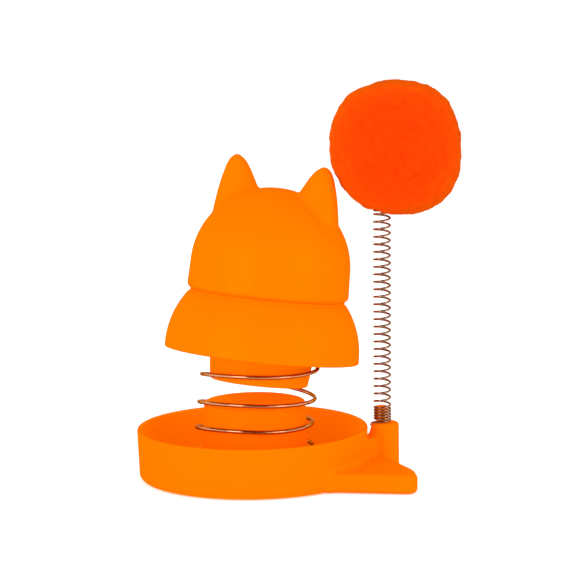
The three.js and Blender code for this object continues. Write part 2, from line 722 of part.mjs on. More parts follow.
// Pompom: a trimmed ball of yarn, a little uneven, with a bore for the wand's end
function pompom() {
  const geometry = new THREE.SphereGeometry(pompomR, 24, 14).rotateX(Math.PI / 2);
  const at = geometry.attributes.position;
  const corner = new THREE.Vector3();
  const bulgeWay = new THREE.Vector3(0.72, -0.1, -0.69).normalize();
  for (let i = 0; i < at.count; i += 1) {
    corner.fromBufferAttribute(at, i);
    const way = corner.clone().normalize();
    const bulge = pompomBulge * Math.exp(-((way.angleTo(bulgeWay) / 0.5) ** 2));
    corner.addScaledVector(way, pompomTall * way.z ** 2 - pompomFlat * way.x ** 2 + bulge);
    at.setXYZ(i, corner.x, corner.y, corner.z);
  }
  const middle = openTop + pompomUp;
  geometry.translate(wandEnd.x + pompomX, wandEnd.y + pompomY, middle);
  const boreR = wandR + wandWire / 2 + 1;
  const bore = rod(boreR, middle - pompomR - 5, plugTop + 1, 16);
  return solid(geometry).subtract(solid(bore.translate(wandEnd.x, wandEnd.y, 0)));
}

// Assembly
const toy = new THREE.Group();

function place(parent, name, body, look) {
  const geometry = body.isBufferGeometry ? body : surface(body);
  const mesh = new THREE.Mesh(geometry, new THREE.MeshStandardMaterial(look));
  mesh.name = name;
  parent.add(mesh);
  return mesh;
}

place(toy, 'base_tray', baseTray(), orange);
place(toy, 'base_pad', pad(padR), foam);
place(toy, 'ledge_pad', pad(ledgePadR), foam)
  .position.set(trayRimR + ledgeReach - ledgePadIn, ledgeFrontRight + ledgePadBack, 0);
place(toy, 'spring_hub', springHub(), orange).position.x = hubX;
hubBosses.forEach(({ x, y }, i) => {
  const seat = padCeiling + screwHead + 0.4 - seatGap;
  place(toy, `hub_screw_${i + 1}`, screw(floorZ - seat), steel).position.set(x, y, seat);
});

const wide = wideSpringPath();
console.log('bounce_spring least gap to itself:', leastGap(wide.points, wire).toFixed(2), 'mm');
place(toy, 'bounce_spring', tube(wide.points, wide.sides, wireR * 1.04), copper);

const head = new THREE.Group();
head.position.copy(headAt);
head.quaternion.copy(headTilt);
toy.add(head);
place(head, 'neck_cup', neckCup(), orangeDeep);
place(head, 'skirt', skirt(), orange);
around(3, bossCircle, 0).forEach(({ x, y }, i) => {
  const mesh = place(head, `neck_screw_${i + 1}`, screw(plateThick), steel);
  mesh.rotation.x = Math.PI;
  mesh.position.set(x, y, plateBottom + plateThick + seatGap);
});
place(head, 'head_dome', headDome(), orange).rotation.z = degrees(headTurn);

const wand = wandPath();
console.log('wand_spring least gap to itself:', leastGap(wand.points, wandWire).toFixed(2), 'mm');
place(toy, 'wand_peg', wandPeg(), orangeDeep).position.set(wandAt.x, wandAt.y, 0);
place(toy, 'peg_screw', screw(pegSeatZ - pegScrewCeiling), steel)
  .position.set(wandAt.x, wandAt.y, pegScrewCeiling - seatGap);
place(toy, 'wand_spring', tube(wand.points, wand.sides, wandWire / 2), copper);
place(toy, 'pompom_plug', pompomPlug(), orangeDeep).position.set(wandEnd.x, wandEnd.y, 0);
place(toy, 'pompom_tie', pompomTie(), yarn)
  .position.set(wandEnd.x, wandEnd.y, (plugShoulder + plugTop) / 2);
place(toy, 'pompom', pompom(), yarn);

export default toy;
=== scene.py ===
# A spring cat teaser: an orange treat tray, a bell and an eared dome that sway on a wide copper spring, and
# an orange pompom on a thin spring wand beside them. Everything is laid out in millimetres and made in metres.
import math

import bmesh
import bpy
import numpy as np
from mathutils import Matrix, Vector


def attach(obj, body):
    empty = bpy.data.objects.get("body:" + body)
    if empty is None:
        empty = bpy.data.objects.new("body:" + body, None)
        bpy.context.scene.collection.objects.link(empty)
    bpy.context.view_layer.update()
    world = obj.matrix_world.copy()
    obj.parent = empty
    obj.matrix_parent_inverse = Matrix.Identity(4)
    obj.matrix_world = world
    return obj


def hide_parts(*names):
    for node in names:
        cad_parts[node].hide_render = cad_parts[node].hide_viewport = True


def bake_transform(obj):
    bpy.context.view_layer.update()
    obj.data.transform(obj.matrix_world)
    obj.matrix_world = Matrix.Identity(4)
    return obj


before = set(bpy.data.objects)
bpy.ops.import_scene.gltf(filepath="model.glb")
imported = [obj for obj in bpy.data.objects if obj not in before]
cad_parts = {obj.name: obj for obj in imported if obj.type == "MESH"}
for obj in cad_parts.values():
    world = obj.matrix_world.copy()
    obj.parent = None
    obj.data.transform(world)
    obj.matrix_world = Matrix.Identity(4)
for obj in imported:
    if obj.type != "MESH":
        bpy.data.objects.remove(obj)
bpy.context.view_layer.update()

# The set. A white table top with a stronger lamp at the left and a weaker one at the right, both about half a
# metre up. The room is white to the camera; shiny things see a dark strip behind the camera and a dark ceiling
# in it, and the light that it throws comes more from the sides than from above.
MM = 0.001


def placed(name, data):
    """A new object in the scene."""
    made = bpy.data.objects.new(name, data)
    bpy.context.scene.collection.objects.link(made)
    return made


def lamp(name, place, towards, size, watts):
    """A soft oblong lamp that faces a point."""
    light = bpy.data.lights.new(name, "AREA")
    light.shape, light.size, light.size_y, light.energy = "RECTANGLE", size[0], size[1], watts
    made = placed(name, light)
    made.location = place
    made.rotation_euler = (Vector(towards) - Vector(place)).to_track_quat("-Z", "Y").to_euler()


class Socket:
    """An output in a tree of nodes. Sums written on it add the Math nodes that work them out."""

    def __init__(self, tree, socket=None):
        self.tree, self.socket = tree, socket

    def node(self, kind, settings=None, into=None, out=0):
        """One output of a new node, made with its settings and then with what goes into its sockets."""
        made = self.tree.nodes.new(kind)
        for key, value in (settings or {}).items():
            setattr(made, key, value)
        for key, value in (into or {}).items():
            if isinstance(value, Socket):
                self.tree.links.new(value.socket, made.inputs[key])
            else:
                made.inputs[key].default_value = value
        return Socket(self.tree, made.outputs[out])

    def also(self, out):
        """Another output of the same node."""
        return Socket(self.tree, self.socket.node.outputs[out])

    def worked(self, operation, first, second=0.0):
        """What a sum makes of two values, or of one."""
        return self.node("ShaderNodeMath", {"operation": operation}, {0: first, 1: second})

    def __add__(self, other):
        return self.worked("ADD", self, other)

    def __sub__(self, other):
        return self.worked("SUBTRACT", self, other)

    def __rsub__(self, other):
        return self.worked("SUBTRACT", other, self)

    def __mul__(self, other):
        return self.worked("MULTIPLY", self, other)

    __radd__, __rmul__ = __add__, __mul__

    def blend(self, first, second):
        """The colour that this amount of the second in the first gives."""
        return self.node("ShaderNodeMix", {"data_type": "RGBA"}, {0: self, 6: first, 7: second}, 2)

    def mapped(self, low, high, at_low, at_high, course="LINEAR"):
        """This value carried over from one range to another, and held at its ends."""
        return self.node("ShaderNodeMapRange", {"interpolation_type": course},
                         {0: self, 1: low, 2: high, 3: at_low, 4: at_high})

    def noise(self, scale, detail=2.0, **more):
        """Noise over a place, with about so many patches to the metre."""
        return self.node("ShaderNodeTexNoise", None, {"Vector": self, "Scale": scale, "Detail": detail, **more})

    def bump(self, strength, distance, **more):
        """The normals of a surface that rises with this value."""
        return self.node("ShaderNodeBump", None,
                         {"Strength": strength, "Distance": distance, "Height": self, **more})


def emptied(owner):
    """The tree of a material or a world, with nothing in it yet."""
    owner.use_nodes = True
    owner.node_tree.nodes.clear()
    return Socket(owner.node_tree)


def ray_kinds(bare):
    """1 for a ray from the camera, for one off a shiny thing and for one through a clear thing, else 0."""
    seen = bare.node("ShaderNodeLightPath", None, None, "Is Camera Ray")
    return seen, seen.also("Is Glossy Ray"), seen.also("Is Transmission Ray")


table_top = bpy.data.materials.new("table_top")
bare = emptied(table_top)
grain = bare.node("ShaderNodeTexCoord", None, None, "Object").noise(3.0)
white = (grain * 0.01 + 0.5).blend((0.93, 0.93, 0.93, 1), (0.95, 0.95, 0.95, 1))
seen, glossy, through = ray_kinds(bare)
matt = bare.node("ShaderNodeBsdfDiffuse", None, {"Color": white})
glow = bare.node("ShaderNodeEmission", None, {"Strength": (seen + glossy + through) * 0.42})
both = bare.node("ShaderNodeAddShader", None, {0: matt, 1: glow})
bare.tree.links.new(both.socket, bare.tree.nodes.new("ShaderNodeOutputMaterial").inputs["Surface"])

top = bpy.data.meshes.new("table_top")
top.from_pydata([(-8, -6, 0), (8, -6, 0), (8, 14, 0), (-8, 14, 0)], [], [(0, 1, 2, 3)])
top.materials.append(table_top)
table = placed("table_top", top)

room = bpy.data.worlds.new("room")
bpy.context.scene.world = room
bare = emptied(room)
seen, glossy, through = ray_kinds(bare)
sideways = bare.node("ShaderNodeSeparateXYZ", None, {0: bare.node("ShaderNodeTexCoord", None, None, "Generated")})
depth, height = sideways.also(1), sideways.also(2)
# How far a direction turns away from the camera's side, in radians
off_camera = bare.worked("ABSOLUTE", bare.worked("ARCTAN2", sideways, 0 - depth))
strip = off_camera.mapped(0.34, 0.52, 0.02, 1.8, "SMOOTHSTEP")
ceiling = height.mapped(0.4, 0.6, 1.0, 0.06, "SMOOTHSTEP")
shown = bare.worked("MAXIMUM", seen + through, glossy * strip * ceiling)
around = height.mapped(0.15, 0.6, 1.45, 0.82, "SMOOTHSTEP")
level = shown + (1 - seen - through - glossy) * around
sky = bare.node("ShaderNodeBackground", None, {"Color": (1, 1, 1, 1), "Strength": level})
bare.tree.links.new(sky.socket, bare.tree.nodes.new("ShaderNodeOutputWorld").inputs["Surface"])

toy_middle = (0.01, 0, 0.06)
lamp("left", (-1.0, -1.2, 0.62), toy_middle, (0.8, 1.1), 7)
lamp("right", (1.2, -1.0, 0.5), toy_middle, (0.6, 0.9), 4)

lens = bpy.data.cameras.new("camera")
lens.lens, lens.sensor_width, lens.clip_end = 196.6, 36, 50
camera = placed("camera", lens)
tilt, roll, away, aim_x, aim_z = math.radians(9.12), math.radians(0.73), 1.5, 0.01874, 0.08995
camera.location = (aim_x, -away * math.cos(tilt), aim_z + away * math.sin(tilt))
camera.rotation_euler = (Matrix.Rotation(math.pi / 2 - tilt, 4, "X") @ Matrix.Rotation(-roll, 4, "Z")).to_euler()
bpy.context.scene.camera = camera
bpy.context.scene.view_settings.view_transform = "Standard"


# Treat tray. One glossy orange polypropylene moulding: the round tray is a turned wall and floor, and the ledge,
# the post and the web between them grow out of its side with soft fillets, so they are made as one form.
def material(name, **constants):
    """A material with one Principled shader. Returns it, the place on its piece and a call that links to it."""
    made = bpy.data.materials.new(name)
    made.use_nodes = True
    shader = made.node_tree.nodes["Principled BSDF"]
    for key, value in constants.items():
        shader.inputs[key.replace("_", " ")].default_value = value

    def feed(key, value):
        made.node_tree.links.new(value.socket, shader.inputs[key])

    return made, Socket(made.node_tree).node("ShaderNodeTexCoord", None, None, "Object"), feed


def moulded_plastic(name, tone, gloss, lit=None):
    """Injection-moulded plastic: slight flow marks in its colour, a satin bloom, a fine mould grain, and a faint
    painted orange glow that stands in for light through the thin plastic.

    lit tells from a place how much light comes through the thin wall there, and that light is painted into the
    colour, paler where there is more: 1 / 3 is the usual, 1 is a lot.
    """
    # Painted light: the emission is a faint orange glow of the plastic's own, not a lamp
    made, place, feed = material(
        name, Metallic=0.06, Specular_IOR_Level=0.0, Specular_Tint=(1.0, 0.45, 0.05, 1),
        Emission_Color=(0.9, 0.4, 0.0, 1), Emission_Strength=0.13)
    flow, bloom, grain = place.noise(22.0, Distortion=0.6), place.noise(140.0, 4.0), place.noise(3200.0)
    red, green, blue = tone
    if lit is None:
        feed("Base Color", flow.blend((red * 0.97, green * 0.93, blue, 1), (red, green * 1.06, blue, 1)))
    else:
        # Painted light and shade: the colour is painted paler where lit is higher and deeper where it is lower
        x = place.node("ShaderNodeSeparateXYZ", None, {0: place})
        amount = lit(x, x.also(1), x.also(2)) + flow * 0.08 - 0.04
        feed("Base Color", amount.blend((red, green * 0.55, blue, 1), (red, green * 1.9, blue, 1)))
    feed("Roughness", bloom * 0.1 + flow * 0.06 + (gloss - 0.08))
    feed("Normal", grain.bump(0.12, 0.00004, Normal=bloom.bump(0.25, 0.00035)))
    return made


def lit_inside(x, y, z):
    """Painted light: the inner side of the tray's wall and floor is painted paler than elsewhere, as if more
    light came through them there.
    """
    return x.worked("SQRT", x * x + y * y).mapped(0.0531, 0.0537, 1.0, 1 / 3)


plastic_tone, plastic_gloss = (1.0, 0.143, 0.0), 0.36
orange = moulded_plastic("orange_plastic", plastic_tone, plastic_gloss)
# The tray's copy of the plastic has light painted on its inner side
tray_orange = moulded_plastic("tray_plastic", plastic_tone, plastic_gloss, lit_inside)


def softened(corners, closed=False):
    """A line with its corners rounded: each corner is (across, up) or (across, up, radius of its rounding)."""
    made = []
    for i, corner in enumerate(corners):
        here, size = np.array(corner[:2], float), corner[2] if len(corner) > 2 else 0
        if not size or (not closed and i in (0, len(corners) - 1)):
            made.append(tuple(here))
            continue
        before = np.array(corners[i - 1][:2], float) - here
        after = np.array(corners[(i + 1) % len(corners)][:2], float) - here
        room_before, room_after = np.linalg.norm(before), np.linalg.norm(after)
        before, after = before / room_before, after / room_after
        half = math.acos(np.clip(before @ after, -1, 1)) / 2
        reach = min(size / math.tan(half), 0.48 * room_before, 0.48 * room_after)
        size = reach * math.tan(half)
        middle = here + (before + after) / np.linalg.norm(before + after) * size / math.sin(half)
        a, b = here + before * reach - middle, here + after * reach - middle
        turn = math.pi - 2 * half
        steps = max(2, math.ceil(turn / math.radians(13)))
        # A point just outside each end of the rounding keeps the straight beside it flat
        if room_before - reach > 0.6:
            made.append(tuple(here + before * (reach + 0.15)))
        for k in range(steps + 1):
            s = k / steps
            arc = math.sin((1 - s) * turn) * a + math.sin(s * turn) * b
            made.append(tuple(middle + arc / math.sin(turn)))
        if room_after - reach > 0.6:
            made.append(tuple(here + after * (reach + 0.15)))
    return made


def turned(profile, sides=160, closed=False):
    """A turned form from its profile of (radius, height), with both ends on the axis or closed on itself."""
    line = softened(profile, closed)
    corners, faces, rings = [], [], []
    for radius, height in line:
        if radius < 1e-6:
            rings.append([len(corners)])
            corners.append((0, 0, height))
        else:
            rings.append(list(range(len(corners), len(corners) + sides)))
            corners += [(radius * math.cos(a), radius * math.sin(a), height)
                        for a in (2 * math.pi * k / sides for k in range(sides))]
    pairs = list(zip(rings, rings[1:])) + ([(rings[-1], rings[0])] if closed else [])
    for low, high in pairs:
        for k in range(sides):
            n = (k + 1) % sides
            if len(low) == 1 and len(high) > 1:
                faces.append((low[0], high[n], high[k]))
            elif len(high) == 1 and len(low) > 1:
                faces.append((low[k], low[n], high[0]))
            elif len(low) > 1:
                faces.append((low[k], low[n], high[n], high[k]))
    return np.array(corners), faces


def as_mesh(name, parts, finish, place=None, sharp=32, normals=None):
    """One mesh, with its faces outwards, from parts of (corners, faces) laid out in millimetres."""
    corners, faces = [], []
    for part_corners, part_faces in parts:
        first = sum(len(c) for c in corners)
        corners.append(np.asarray(part_corners, float))
        faces += [[first + k for k in face] for face in part_faces]
    at = np.concatenate(corners)
    if place is not None:
        turn = np.array(place.to_3x3())
        at = at @ turn.T + np.array(place.translation)
        normals = normals @ turn.T if normals is not None else None
    mesh = bpy.data.meshes.new(name)
    mesh.from_pydata((at * MM).tolist(), [], faces)
    mesh.materials.append(finish)
    if normals is None:
        work = bmesh.new()
        work.from_mesh(mesh)
        bmesh.ops.recalc_face_normals(work, faces=work.faces)
        work.to_mesh(mesh)
        work.free()
    mesh.shade_smooth()
    if normals is None:
        mesh.set_sharp_from_angle(angle=math.radians(sharp))
    else:
        mesh.normals_split_custom_set_from_vertices(normals.tolist())
    return mesh


def fitted(name, mesh, body, slot, *nodes):
    """Puts a finished mesh on its body, in place of the plain solids that it stands for. A piece that bends
    between two bodies is given None for its body, and is put on none."""
    piece = placed(name, mesh)
    if body:
        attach(piece, body)
    if nodes:
        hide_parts(*nodes)
    return piece


tray_rim, tray_foot, rim_top, foot_z, floor_z = 55.0, 54.0, 24.4, 0.3, 4.8
rim_wide, inner_foot, recess_r, recess_z = 2.05, 51.8, 45.6, 1.8
fitted("tray_shell", as_mesh("tray_shell", [turned([
    (0, recess_z), (recess_r, recess_z, 0.3), (recess_r, foot_z, 0.4), (tray_foot, foot_z, 3.0),
    (tray_rim, rim_top, 0.95), (tray_rim - rim_wide, rim_top, 0.95), (inner_foot, floor_z, 2.2), (0, floor_z)],
    220)], tray_orange), "base", "orange_plastic", "base_tray")


def plan_distance(x, y, outline):
    """How far a point lies outside a closed outline seen from above, less than nothing inside it."""
    nearest, inside = None, None
    for (ax, ay), (bx, by) in zip(outline, outline[1:] + outline[:1]):
        ex, ey = bx - ax, by - ay
        share = np.clip(((x - ax) * ex + (y - ay) * ey) / max(ex * ex + ey * ey, 1e-9), 0, 1)
        gap = (x - ax - ex * share) ** 2 + (y - ay - ey * share) ** 2
        crosses = ((ay > y) != (by > y)) & (x < ex * (y - ay) / (ey if abs(ey) > 1e-9 else 1e-9) + ax)
        nearest = gap if nearest is None else np.minimum(nearest, gap)
        inside = crosses if inside is None else inside ^ crosses
    return np.where(inside, -1, 1) * np.sqrt(nearest)


def slab(plan, z, low, high, rounding):
    """An upright form of that plan between two heights, with rounded edges."""
    out, up = plan + rounding, np.abs(z - (low + high) / 2) - (high - low) / 2 + rounding
    return np.minimum(np.maximum(out, up), 0) + np.hypot(np.maximum(out, 0), np.maximum(up, 0)) - rounding


def grown(a, b, fillet):
    """Two forms grown together, with a fillet where they meet."""
    meet = np.maximum(fillet - np.abs(a - b), 0)
    return np.minimum(a, b) - meet * meet / (4 * fillet)


def cut(a, b, edge=0.3):
    """The first form with the second cut out of it."""
    return -grown(-a, b, edge)


def ramp(value, low, high):
    """0 up to the first value, 1 from the second, with a soft rise between them."""
    s = np.clip((value - low) / (high - low), 0, 1)
    return s * s * (3 - 2 * s)


def skinned(form, low, high, step):
    """The skin of a form, which is less than 0 inside: one corner in each cell that the skin crosses, then
    drawn onto the skin itself."""
    lines = [np.arange(a, b + step, step) for a, b in zip(low, high)]
    x, y, z = np.meshgrid(*lines, indexing="ij", sparse=True)
    value = np.broadcast_to(form(x, y, z), [len(line) for line in lines])
    full = value < 0
    cells = tuple(n - 1 for n in value.shape)
    total, count = np.zeros(cells + (3,)), np.zeros(cells)
    for axis in range(3):
        u, v = (axis + 1) % 3, (axis + 2) % 3
        for p in (0, 1):
            for q in (0, 1):
                start = [None, None, None]
                start[u], start[v] = slice(p, cells[u] + p), slice(q, cells[v] + q)
                end = list(start)
                start[axis], end[axis] = slice(0, -1), slice(1, None)
                a, b = value[tuple(start)], value[tuple(end)]
                crossed = (a < 0) != (b < 0)
                share = np.where(crossed, a / np.where(crossed, a - b, 1), 0)
                total[..., axis] += share
                total[..., u] += crossed * p
                total[..., v] += crossed * q
                count += crossed
    mixed = count > 0
    number = np.full(cells, -1)
    number[mixed] = np.arange(mixed.sum())
    at = np.array(low) + step * (np.argwhere(mixed) + total[mixed] / count[mixed][:, None])
    faces = []
    for axis in range(3):
        u, v = (axis + 1) % 3, (axis + 2) % 3
        start = [slice(1, -1)] * 3
        end = list(start)
        start[axis], end[axis] = slice(0, -1), slice(1, None)
        a, b = full[tuple(start)], full[tuple(end)]
        for crossing, order in ((a & ~b, 1), (b & ~a, -1)):
            cell = np.argwhere(crossing)
            ring = []
            for du, dv in ((0, 0), (1, 0), (1, 1), (0, 1)):
                near = cell.copy()
                near[:, u] += du
                near[:, v] += dv
                ring.append(number[tuple(near.T)])
            faces.append(np.stack(ring[::order], 1))

    def slope(points, nudge=0.03):
        rise = np.empty_like(points)
        for k in range(3):
            small = np.zeros(3)
            small[k] = nudge
            rise[:, k] = (form(*(points + small).T) - form(*(points - small).T)) / (2 * nudge)
        return rise

    for _ in range(3):
        rise = slope(at)
        pull = form(*at.T) / np.maximum((rise ** 2).sum(1), 0.05)
        at = at - np.clip(pull, -step / 2, step / 2)[:, None] * rise
    rise = slope(at)
    return at, np.concatenate(faces).tolist(), rise / np.maximum(np.linalg.norm(rise, axis=1), 1e-9)[:, None]


post_x, post_y, post_r, post_top = 63.5, 5.0, 6.5, 24.7
wand_x, wand_r = 62.1, 3.8
ledge_top, ledge_under, ledge_wall, boss_x, boss_y = 9.6, 7.4, 2.2, 63.7, -32.5
ledge_line = softened([
    (53.5, -1.9), (39.2, -36.4), (34.5, -40.55), (77.5, -47.2, 5.2), (76.2, -33.2), (74.9, -29), (73.6, -25.9),
    (72.3, -22.5), (70.8, -19), (69.6, -14.3), (67.5, -10.5), (64.5, -7.6), (59.2, -4.2)], closed=True)
wall_rise, foot_round, foot_mid, foot_mid_r, strip_top, strip_inside = 24.1, 3.0, 3.3, 51.1, 23.2, 53.35
plinth_top, saddle_low, saddle_rise, notch_half, notch_floor = 6.8, 18.2, 5.2, 0.75, 24.45
peg_hole_r, peg_floor, head_hole_r, head_seat, shank_hole_r = 3.1, 13.7, 3.2, 11.7, 1.5
plinth_line = [(52, -6), (64, -13), (67.6, -4), (67.6, 4), (66, 8.5), (63.5, 10.5), (52, 13)]


def web_line():
    """The web's outline from the tray to the post, with a wide hollow in front and a small one behind."""
    reach, wall_r = math.hypot(post_x, post_y), 54.5
    ux, uy, sides = post_x / reach, post_y / reach, []
    for side, hollow in ((-1, 8.0), (1, 4.0)):
        along = (reach ** 2 + (wall_r + hollow) ** 2 - (post_r + hollow) ** 2) / (2 * reach)
        off = math.sqrt((wall_r + hollow) ** 2 - along ** 2)
        cx, cy = ux * along - uy * off * side, uy * along + ux * off * side
        start = math.atan2(-cy, -cx)
        end = math.atan2(post_y - cy, post_x - cx)
        end -= 2 * math.pi * round((end - start) / (2 * math.pi))
        sides.append([(cx + hollow * math.cos(start + (end - start) * k / 8),
                       cy + hollow * math.sin(start + (end - start) * k / 8)) for k in range(9)])
    front, back = sides[0], sides[1][::-1]
    return [(52, front[0][1])] + front + [(post_x, post_y)] + back + [(52, back[-1][1])]


web_plan = web_line()


def side_moulding(x, y, z):
    """The ledge, the post and the web, with the strip of the tray's wall that they grow out of."""
    radius, axis = np.hypot(x, y), np.hypot(x - post_x, y - post_y)
    wall = radius - (tray_foot - 0.02 + (z - foot_z) / wall_rise)
    foot = np.hypot(np.maximum(radius - foot_mid_r, 0), z - foot_mid) - foot_round
    wall = np.maximum(np.where(z < foot_mid, foot, wall), z - strip_top)
    plan = plan_distance(x, y, ledge_line)
    ledge = cut(slab(plan, z, foot_z, ledge_top, 2.3), np.maximum(plan + ledge_wall, z - ledge_under), 0.8)
    ledge = grown(ledge, slab(np.hypot(x - boss_x, y - boss_y) - 6.5, z, recess_z, 9.0, 0.3), 0.5)
    plinth = slab(plan_distance(x, y, plinth_line), z, foot_z, plinth_top, 1.0)
    post = slab(axis - post_r, z, foot_z, post_top, 1.3)
    saddle = saddle_low + saddle_rise * (1 - np.clip((axis - post_r) / 2.6, 0, 1)) ** 2
    web = np.maximum(cut(plan_distance(x, y, web_plan), saddle - z, 1.6), foot_z - z)
    side = grown(grown(ledge, plinth, 2.0), grown(post, web, 1.5), 2.2)
    form = np.maximum(grown(side, wall, 3.5 - 2.5 * ramp(z, 15, 19)), strip_inside - radius)
    bore = np.hypot(x - wand_x, y - post_y)
    peg_hole = np.maximum(bore - peg_hole_r, peg_floor - z)
    head_hole = np.maximum(bore - head_hole_r, z - head_seat)
    notch = np.maximum(np.abs(y - (post_y - wand_r)) - notch_half, notch_floor - z)
    for hollow, edge in ((peg_hole, 0.4), (head_hole, 0.4), (bore - shank_hole_r, 0.2),
                         (np.maximum(notch, x - wand_x), 0.3), (z - foot_z, 0.3)):
        form = cut(form, hollow, edge)
    return np.maximum(form, np.maximum(y - 15.4, 29.0 - x))


at, faces, normals = skinned(side_moulding, (28, -49.5, -0.6), (79, 16.5, 25.8), 0.45)
fitted("ledge_and_post", as_mesh("ledge_and_post", [(at, faces)], orange, normals=normals), "base",
       "orange_plastic")

# Anti-slip pads. Soft black foam discs with rounded edges, one glued in the recess under the tray and one to the
# boss under the ledge.
foam, place, feed = material("pad_foam", Roughness=0.9)
cells = place.node("ShaderNodeTexVoronoi", None, {"Vector": place, "Scale": 1500.0})
feed("Base Color", cells.blend((0.012, 0.012, 0.013, 1), (0.035, 0.034, 0.034, 1)))
feed("Normal", cells.bump(0.5, 0.0002))


def pad(radius, place):
    """A disc of foam that stands on the floor."""
    return as_mesh("pad", [turned([(0, 0), (radius, 0, 0.35), (radius, 1.5, 0.2), (0, 1.5)], 128)], foam, place)


fitted("base_pad_foam", pad(45.0, None), "base", "pad_foam", "base_pad")
fitted("ledge_pad_foam", pad(5.5, Matrix.Translation((boss_x, boss_y, 0))), "base", "pad_foam", "ledge_pad")


# Lower stub. A closed cup of the same plastic that stands on the tray's floor inside the wide spring. Three claws
# on its wall hold the spring's end turn down, and screws from below go into its three bosses.
def nodes_tree(name, **kinds):
    """A tree of Geometry Nodes, followed by its inputs, which have these names and kinds."""
    group = bpy.data.node_groups.new(name, "GeometryNodeTree")
    for key, kind in kinds.items():
        group.interface.new_socket(key.replace("_", " "), in_out="INPUT", socket_type="NodeSocket" + kind)
    group.interface.new_socket("Made", in_out="OUTPUT", socket_type="NodeSocketGeometry")
    given = group.nodes.new("NodeGroupInput")
    return [group] + [Socket(group, given.outputs[k]) for k in range(len(kinds))]


def tree_end(group, made, finish):
    """The end of a tree: copies become plain geometry, of one material."""
    real = made.node("GeometryNodeRealizeInstances", None, {0: made})
    painted = real.node("GeometryNodeSetMaterial", None, {0: real, "Material": finish})
    group.links.new(painted.socket, group.nodes.new("NodeGroupOutput").inputs[0])


def grown_mesh(data, group, **values):
    """What a tree of Geometry Nodes makes of a mesh or a curve with these inputs, as a plain mesh."""
    holder = placed("holder", data)
    tool = holder.modifiers.new("tool", "NODES")
    tool.node_group = group
    for item in group.interface.items_tree:
        key = item.name.replace(" ", "_")
        if item.item_type == "SOCKET" and item.in_out == "INPUT" and key in values:
            tool[item.identifier] = values[key]
    graph = bpy.context.evaluated_depsgraph_get()
    mesh = bpy.data.meshes.new_from_object(
        holder.evaluated_get(graph), preserve_all_data_layers=True, depsgraph=graph)
    bpy.data.objects.remove(holder)
    return mesh


def repeated(mesh, count, first, step, finish, height=0.0, circle=0.0):
    """Copies of one small piece round an upright axis, as a plain mesh laid out in millimetres."""
    group, piece, number, start, gap, across, up, paint = nodes_tree(
        "round_the_axis", Piece="Geometry", Count="Int", First_Angle="Float", Step_Angle="Float",
        Circle="Float", Height="Float", Finish="Material")
    angle = piece.node("GeometryNodeInputIndex") * gap + start
    spot = piece.node("ShaderNodeVectorRotate", {"rotation_type": "Z_AXIS"}, {
        "Vector": piece.node("ShaderNodeCombineXYZ", None, {"X": across, "Z": up}), "Angle": angle})
    points = piece.node("GeometryNodePoints", None, {"Count": number, "Position": spot})
    tree_end(group, piece.node("GeometryNodeInstanceOnPoints", None, {
        "Points": points, "Instance": piece,
        "Rotation": piece.node("ShaderNodeCombineXYZ", None, {"Z": angle})}), paint)
    return grown_mesh(mesh, group, Count=count, First_Angle=math.radians(first), Finish=finish,
                      Step_Angle=math.radians(step), Height=height * MM, Circle=circle * MM)


def together(name, meshes, finish, place=None):
    """Finished meshes as one, moved to where they belong (place is in millimetres)."""
    work = bmesh.new()
    for mesh in meshes:
        work.from_mesh(mesh)
    made = bpy.data.meshes.new(name)
    if place is not None:
        moved = place.copy()
        moved.translation = place.translation * MM
        bmesh.ops.transform(work, matrix=moved, verts=work.verts)
    work.to_mesh(made)
    work.free()
    made.materials.clear()
    made.materials.append(finish)
    for face in made.polygons:
        face.material_index = 0
    return made


def sector(inner, outer, low, high, half_angle, rounding=0.3):
    """A short piece of a ring about the +X side, with its outer edges rounded."""
    line = softened([(inner, low), (outer, low, rounding), (outer, high, rounding), (inner, high)])
    steps = 8
    corners, faces = [], []
    for k in range(steps + 1):
        angle = math.radians(half_angle * (2 * k / steps - 1))
        corners += [(r * math.cos(angle), r * math.sin(angle), h) for r, h in line]
    wide = len(line)
    for k in range(steps):
        for j in range(wide):
            n = (j + 1) % wide
            faces.append((k * wide + j, k * wide + n, (k + 1) * wide + n, (k + 1) * wide + j))
    faces.append(tuple(range(wide)))
    faces.append(tuple(range(steps * wide, (steps + 1) * wide)))
    return as_mesh("sector", [(corners, faces)], orange, sharp=50)


def screw_boss(base, mouth, hole_end):
    """A round boss with a blind hole for a screw, from its base to its mouth."""
    line = [(0, base), (3.6, base), (3.6, mouth, 0.3), (1.5, mouth, 0.2), (1.5, hole_end), (0, hole_end)]
    return as_mesh("boss", [turned(line, 32)], orange)


def lit_by_height(x, y, z):
    """Painted light and shade by height: the lower stub's foot is painted deeper and its top paler, as if little
    light reached the one and most the other, and the upper stub is painted about half as pale as that top.
    """
    foot, top = z.mapped(0.008, 0.027, 0.0, 0.3), z.mapped(0.0361, 0.0365, 0.0, 0.6)
    return foot + top - z.mapped(0.043, 0.046, 0.0, 0.4)


# A copy of the orange plastic with light and shade painted on by height: deeper at the lower stub's foot, paler
# above
orange_painted_by_height = moulded_plastic("deep_orange_plastic", (1.0, 0.14, 0.0), 0.38, lit_by_height)
hub_x, wire, spring_r, end_turn, hub_foot, boss_circle = 1.2, 1.9, 27.45, 5.8, 5.1, 17.0
hub_wall = turned([
    (0, 36.5), (24.0, 36.5, 0.5), (24.9, 18.5, 9), (24.9, 14.5, 6), (24.3, 10.6, 4), (24.3, hub_foot, 0.3),
    (22.5, hub_foot, 0.3), (22.5, 11, 4), (23.1, 14.8, 5), (23.1, 19, 5), (22.4, 34.5, 0.8), (0, 34.5)], 160)
claw = sector(23.3, spring_r + 0.6, end_turn + wire / 2 + 0.1, end_turn + 2.4, 7)
boss = screw_boss(35, hub_foot, 15.4)
stop = sector(23.6, spring_r + 1.4, hub_foot, end_turn + 0.6, 2.1, 0.2)
